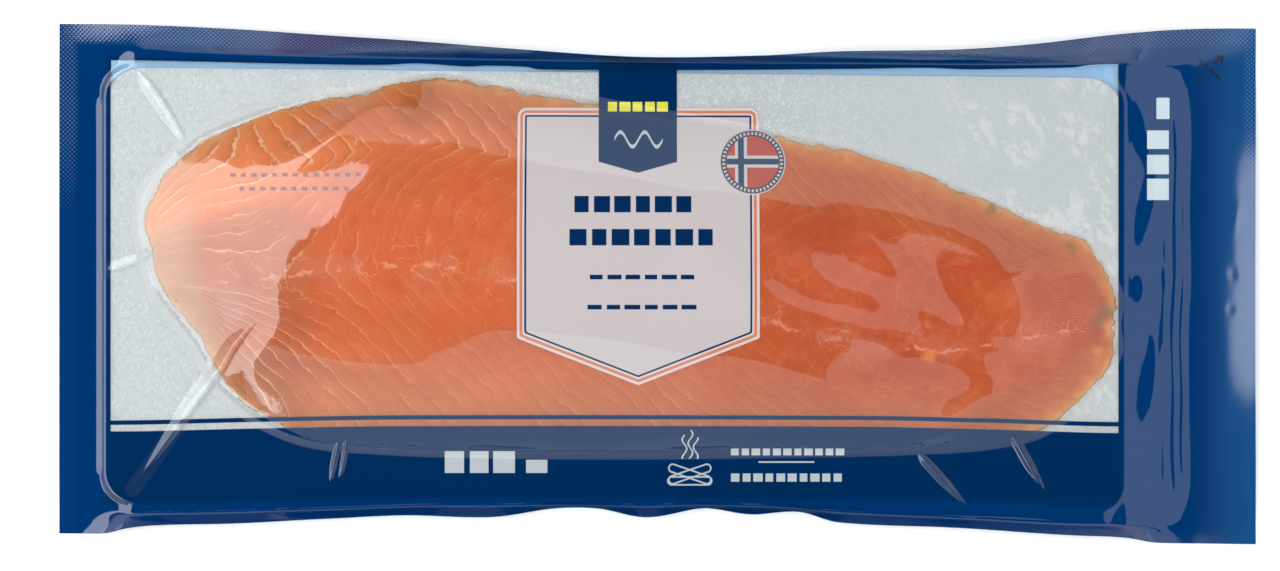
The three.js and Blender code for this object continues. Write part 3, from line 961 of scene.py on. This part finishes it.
    # It is duller where it is drawn down round the fish, and towards the wide border's cut edge.
    drawn_down = (off_fish - reach).over(-1.2, -0.2) * (1 - (off_fish - reach).over(1.8, 3.0))
    creased, _ = tree.map_axes("Folds")
    left_folds = 0.14 * (1 - creased.over(2.5, 4.0)) * (-x).over(135, 150)
    dull = 0.035 + 0.42 * drawn_down + 0.11 * x.over(206, 220) + left_folds
    normal = tree.bump(relief, 0.25, 0.0004)

    print_values = {"Base Color": colour, "Roughness": 0.9, "Specular IOR Level": 0.0, "Normal": normal}
    print_shader = tree.make("BsdfPrincipled", print_values)
    clear = tree.make("BsdfTransparent", {"Color": (0.985, 0.985, 0.985, 1.0)})
    under = tree.make("MixShader", (cover, clear, print_shader))
    gloss = tree.make("BsdfGlossy", {"Color": (1, 1, 1, 1), "Roughness": dull, "Normal": normal})
    shine = tree.make("Fresnel", {"IOR": 1.78, "Normal": normal})
    return tree.finish(tree.make("MixShader", (shine, under, gloss)))


def floor_finish():
    tree = Tree("pale_floor")
    mottle = tree.noise(3, 2)
    colour = tree.mixed(mottle * 0.02, (0.93, 0.93, 0.93), (0.90, 0.90, 0.91))
    values = {"Base Color": colour, "Roughness": 0.9, "Specular IOR Level": 0.0}
    return tree.surface(values)


# ---- Operators ----------------------------------------------------------------------------------


class SALMON_OT_lower_web(Operator):
    """Lay the pale lower web under the board and turn its border up."""

    bl_idname = "salmon.lower_web"
    bl_label = "Lower web"

    def execute(self, context):
        def place(u, v):
            x, y = pouch_point(u, v)
            points = border_offset(x, y, -FILM_APART)
            flat = past_board(x, y) < SEAL_START
            points[:, 2] = np.where(flat, FILM / 2, points[:, 2])
            return points

        bm, _ = lay_out(240, 130, place)
        finish = lining_finish(context.scene.salmon_colours)
        become_piece(context, bm, "web_lower", finish, "lower_film")
        return {"FINISHED"}


class SALMON_OT_board(Operator):
    """Give the board its silver face."""

    bl_idname = "salmon.board"
    bl_label = "Board"

    def execute(self, context):
        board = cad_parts["board"]
        finish = board_finish(context.scene.salmon_colours)
        if not board.data.materials:
            board.data.materials.append(finish)
        for slot in board.material_slots:
            slot.material = finish
        return {"FINISHED"}


class SALMON_OT_fish(Operator):
    """Build the side of fish, thick along its middle, with a ragged thin edge."""

    bl_idname = "salmon.fish"
    bl_label = "Side of fish"

    LONG, SHORT, ROWS = 460, 130, 40

    def execute(self, context):
        sizes = context.scene.salmon_sizes
        outline, _ = fish_outline(self.LONG, self.SHORT)
        run = np.concatenate([[0], np.cumsum(np.linalg.norm(np.diff(outline, axis=0), axis=1))])
        ragged = [
            0.35 * noise.noise(Vector((at / 1.1, 5.7, 0)))
            + 0.7 * noise.noise(Vector((at / 2.6, 3.1, 0)))
            + noise.noise(Vector((at / 7.0, 9.4, 0)))
            for at in run
        ]
        outward = np.minimum(np.array(ragged) * sizes.fish_ragged / MM, 0.7)
        form = fish_form(self.LONG, self.SHORT, self.ROWS, sizes.fish_edge / MM, sizes.fish_rise / MM, outward)
        bm, _ = lay_out(len(outline), self.ROWS, form)
        bmesh.ops.remove_doubles(bm, verts=bm.verts, dist=1e-6)
        bmesh.ops.recalc_face_normals(bm, faces=bm.faces)
        finish = flesh_finish(context.scene.salmon_colours, sizes)
        fish = become_piece(context, bm, "fish_side", finish, "salmon_side")

        x, y, _ = points_of(fish).T
        upper = np.array(sorted([*FISH_TOP, *FISH_LEFT[:4], *FISH_RIGHT[3:]]))
        lower = np.array(sorted([*FISH_BOTTOM, *FISH_LEFT[3:], *FISH_RIGHT[:4]]))
        line = through(MIDDLE_LINE, x)
        above = np.maximum(np.interp(x, *upper.T) - line, 14)
        below = np.maximum(line - np.interp(x, *lower.T), 14)
        level = np.clip(np.where(y > line, (y - line) / above, (y - line) / below), -1.1, 1.1)
        sweep = 1 + THICK_END_SWEEP * (1 - eased(x, -175, -105)) + 0.5 * eased(x, 20, 90)
        back = CHEVRON_AHEAD - CHEVRON_BACK * sweep * (level - CHEVRON_POINT) / (1 - CHEVRON_POINT)
        ahead = np.where(level > CHEVRON_POINT, back, through(CHEVRON, level))
        fan = 1 - eased(x, LAYERS_END, LAYERS_START)
        layered = x + 110 + LAYERS * level
        ahead = ahead + (layered - ahead) * fan * eased(level, -0.5, 0.3)
        add_map(fish, "Grain", np.column_stack([(x - ahead) * MM, level]))
        far = np.abs(off_outline(x, y, outline, 4))
        add_map(fish, "Rim", np.column_stack([far * MM, far * 0]))
        return {"FINISHED"}


class SALMON_OT_upper_web(Operator):
    """Draw the printed upper web tight over the fish and the board, and seal it round the edge."""

    bl_idname = "salmon.upper_web"
    bl_label = "Upper web"

    COLUMNS, ROWS = 380, 214

    def execute(self, context):
        sizes = context.scene.salmon_sizes
        edge, rise, lift = (value / MM for value in (sizes.fish_edge, sizes.fish_rise, sizes.web_lift))
        outline, _ = fish_outline(300, 92)
        covered, _ = lay_out(len(outline), 44, fish_form(300, 92, 44, edge, rise, 0.3))
        surface = BVHTree.FromBMesh(covered)
        covered.free()
        flat_places = []

        def place(u, v):
            x, y = pouch_point(u, v)
            flat_places.extend(zip(x, y))
            near = past_board(x, y)
            level = stepped_down(x, y, near)
            over_fish = np.zeros_like(x)
            for k in np.flatnonzero(near < 2):
                hit = surface.ray_cast(Vector((x[k] * MM, y[k] * MM, 1)), Vector((0, 0, -1)))[0]
                if hit:
                    over_fish[k] = hit.z / MM
            distance = np.abs(off_outline(x, y, outline, 3))
            past = np.maximum(distance - film_reach(x), 0)
            bridge = edge + FISH_BASE + lift - BRIDGE_SAG * distance - BRIDGE_SLOPE * past
            drawn = np.where(over_fish > 0, over_fish + lift, np.maximum(level, bridge))

            at = np.rint(v * self.ROWS).astype(int), np.rint(u * self.COLUMNS).astype(int)
            heights, flesh = (np.zeros((self.ROWS + 1, self.COLUMNS + 1)) for _ in range(2))
            heights[at], flesh[at] = drawn, over_fish + 0.2
            heights = np.maximum(softened(heights, 2), flesh)
            points = border_offset(x, y, FILM_APART)
            inner = near < SEAL_START
            points[:, 0] = np.where(inner, x, points[:, 0])
            points[:, 1] = np.where(inner, y, points[:, 1])
            fallen = level + ripple(x, y) * eased(near, 1.0, 3.0)
            points[:, 2] = np.where(inner, heights[at], np.maximum(points[:, 2], fallen))
            return points

        bm, _ = lay_out(self.COLUMNS, self.ROWS, place)
        layer = bm.verts.layers.float_vector.new("flat")
        for vert, (x, y) in zip(bm.verts, flat_places):
            vert[layer] = (x, y, 0)

        # Finer patches round the folds, which then rise.
        close = near_folds(*np.array(flat_places).T) < FOLD_REACH
        edges = [e for e in bm.edges if close[e.verts[0].index] and close[e.verts[1].index]]
        bmesh.ops.subdivide_edges(bm, edges=edges, cuts=2, use_grid_fill=True)
        flat = np.array([vert[layer][:2] for vert in bm.verts])
        for vert, height in zip(bm.verts, folds(*flat.T)):
            vert.co.z += height * MM
        bm.verts.layers.float_vector.remove(layer)
        finish = printed_film_finish(context.scene.salmon_colours)
        web = become_piece(context, bm, "web_upper", finish, "upper_film")
        add_map(web, "Flat", flat * MM)
        top = flat[:, 1] - through(TOP_PRINT, flat[:, 0])
        band = flat[:, 1] - through(BAND_PRINT, flat[:, 0])
        add_map(web, "Edges", np.column_stack([top, band]) * MM)
        off_fish = off_outline(*flat.T, outline, 3)
        add_map(web, "Folds", np.column_stack([near_folds(*flat.T), flat[:, 0] * 0]) * MM)
        add_map(web, "Fish", np.column_stack([-off_fish, film_reach(flat[:, 0])]) * MM)
        return {"FINISHED"}


# The camera's place, and how far below it the picture is how wide, in metres.
CAMERA_PLACE = (-0.00685, -0.00059, 1.8)
VIEW_DISTANCE, VIEW_WIDTH = 1.792, 0.501


def soft_panel(context, name, middle, size, radiance, colour=(1.0, 1.0, 1.0), turn=0.0, seen_in_gloss=True):
    """A soft light panel overhead, facing down."""
    data = bpy.data.lights.new(name, "AREA")
    data.shape = "RECTANGLE"
    data.size, data.size_y = size
    data.color = colour
    data.energy = radiance * math.pi * size[0] * size[1]
    lamp = bpy.data.objects.new(name, data)
    lamp.location = middle
    lamp.rotation_euler = (0, 0, math.radians(turn))
    lamp.visible_camera = False
    lamp.visible_glossy = seen_in_gloss
    context.scene.collection.objects.link(lamp)


class SALMON_OT_stage(Operator):
    """Set the pale floor, the soft lights and the camera over the pack."""

    bl_idname = "salmon.stage"
    bl_label = "Stage"

    def execute(self, context):
        scene = context.scene
        bm = bmesh.new()
        bmesh.ops.create_circle(bm, cap_ends=True, segments=64, radius=scene.salmon_sizes.floor_width / 2)
        mesh = bpy.data.meshes.new("floor")
        bm.to_mesh(mesh)
        bm.free()
        mesh.materials.append(floor_finish())
        floor = bpy.data.objects.new("floor", mesh)
        scene.collection.objects.link(floor)

        soft_panel(context, "panel_back", (1.4, 2.3, 2.0), (3.9, 1.9), 0.74, (0.86, 1.0, 1.03))
        soft_panel(context, "panel_front", (0.3, -2.2, 2.0), (4.6, 2.4), 0.74, (0.84, 1.0, 1.03))
        soft_panel(context, "panel_left", (-2.4, 0.15, 1.98), (3.2, 3.5), 2.75, (0.95, 1.0, 1.02), turn=-16)
        soft_panel(context, "panel_right", (1.65, -0.025, 2.0), (2.2, 1.95), 0.72, (0.86, 1.0, 1.05))
        soft_panel(context, "panel_corner", (1.875, 1.15, 2.0), (1.75, 0.4), 0.72, (0.86, 1.0, 1.05))
        soft_panel(context, "fill", (0.15, 0.0, 2.2), (1.8, 1.8), 3.6, (1.03, 1.0, 0.985), seen_in_gloss=False)

        # Light from round about, which fades out overhead.
        tree = Tree("studio", "worlds")
        height = tree.make("SeparateXYZ", (tree.make("TexCoord", output="Generated"),), output="Z")
        fade = {"Value": height, "From Min": 0.35, "From Max": 0.62, "To Min": 1.15, "To Max": 0.0}
        strength = tree.make("MapRange", fade, interpolation_type="SMOOTHSTEP")
        light = tree.make("Background", {"Strength": strength})
        scene.world = tree.finish(light, "OutputWorld")
        scene.view_settings.view_transform = "Standard"

        data = bpy.data.cameras.new("camera")
        data.sensor_width = 36
        data.lens = data.sensor_width * VIEW_DISTANCE / VIEW_WIDTH
        camera = bpy.data.objects.new("camera", data)
        camera.location = CAMERA_PLACE
        scene.collection.objects.link(camera)
        scene.camera = camera
        return {"FINISHED"}


class SALMON_PT_pack(Panel):
    """The pack's sizes, colours and pieces."""

    bl_label = "Salmon pack"
    bl_idname = "SALMON_PT_pack"
    bl_space_type = "VIEW_3D"
    bl_region_type = "UI"
    bl_category = "Salmon pack"

    def draw(self, context):
        for group in (context.scene.salmon_sizes, context.scene.salmon_colours):
            for name in group.__annotations__:
                self.layout.prop(group, name)
        for operator in OPERATORS:
            self.layout.operator(operator.bl_idname)


OPERATORS = (SALMON_OT_lower_web, SALMON_OT_board, SALMON_OT_fish, SALMON_OT_upper_web, SALMON_OT_stage)
CLASSES = (SalmonPackColours, SalmonPackSizes, *OPERATORS, SALMON_PT_pack)


def register():
    for cls in CLASSES:
        bpy.utils.register_class(cls)
    bpy.types.Scene.salmon_colours = PointerProperty(type=SalmonPackColours)
    bpy.types.Scene.salmon_sizes = PointerProperty(type=SalmonPackSizes)


def unregister():
    del bpy.types.Scene.salmon_sizes
    del bpy.types.Scene.salmon_colours
    for cls in reversed(CLASSES):
        bpy.utils.unregister_class(cls)


def main():
    register()
    bpy.ops.salmon.lower_web()
    bpy.ops.salmon.board()
    bpy.ops.salmon.fish()
    bpy.ops.salmon.upper_web()
    bpy.ops.salmon.stage()


if __name__ == "__main__":
    main()
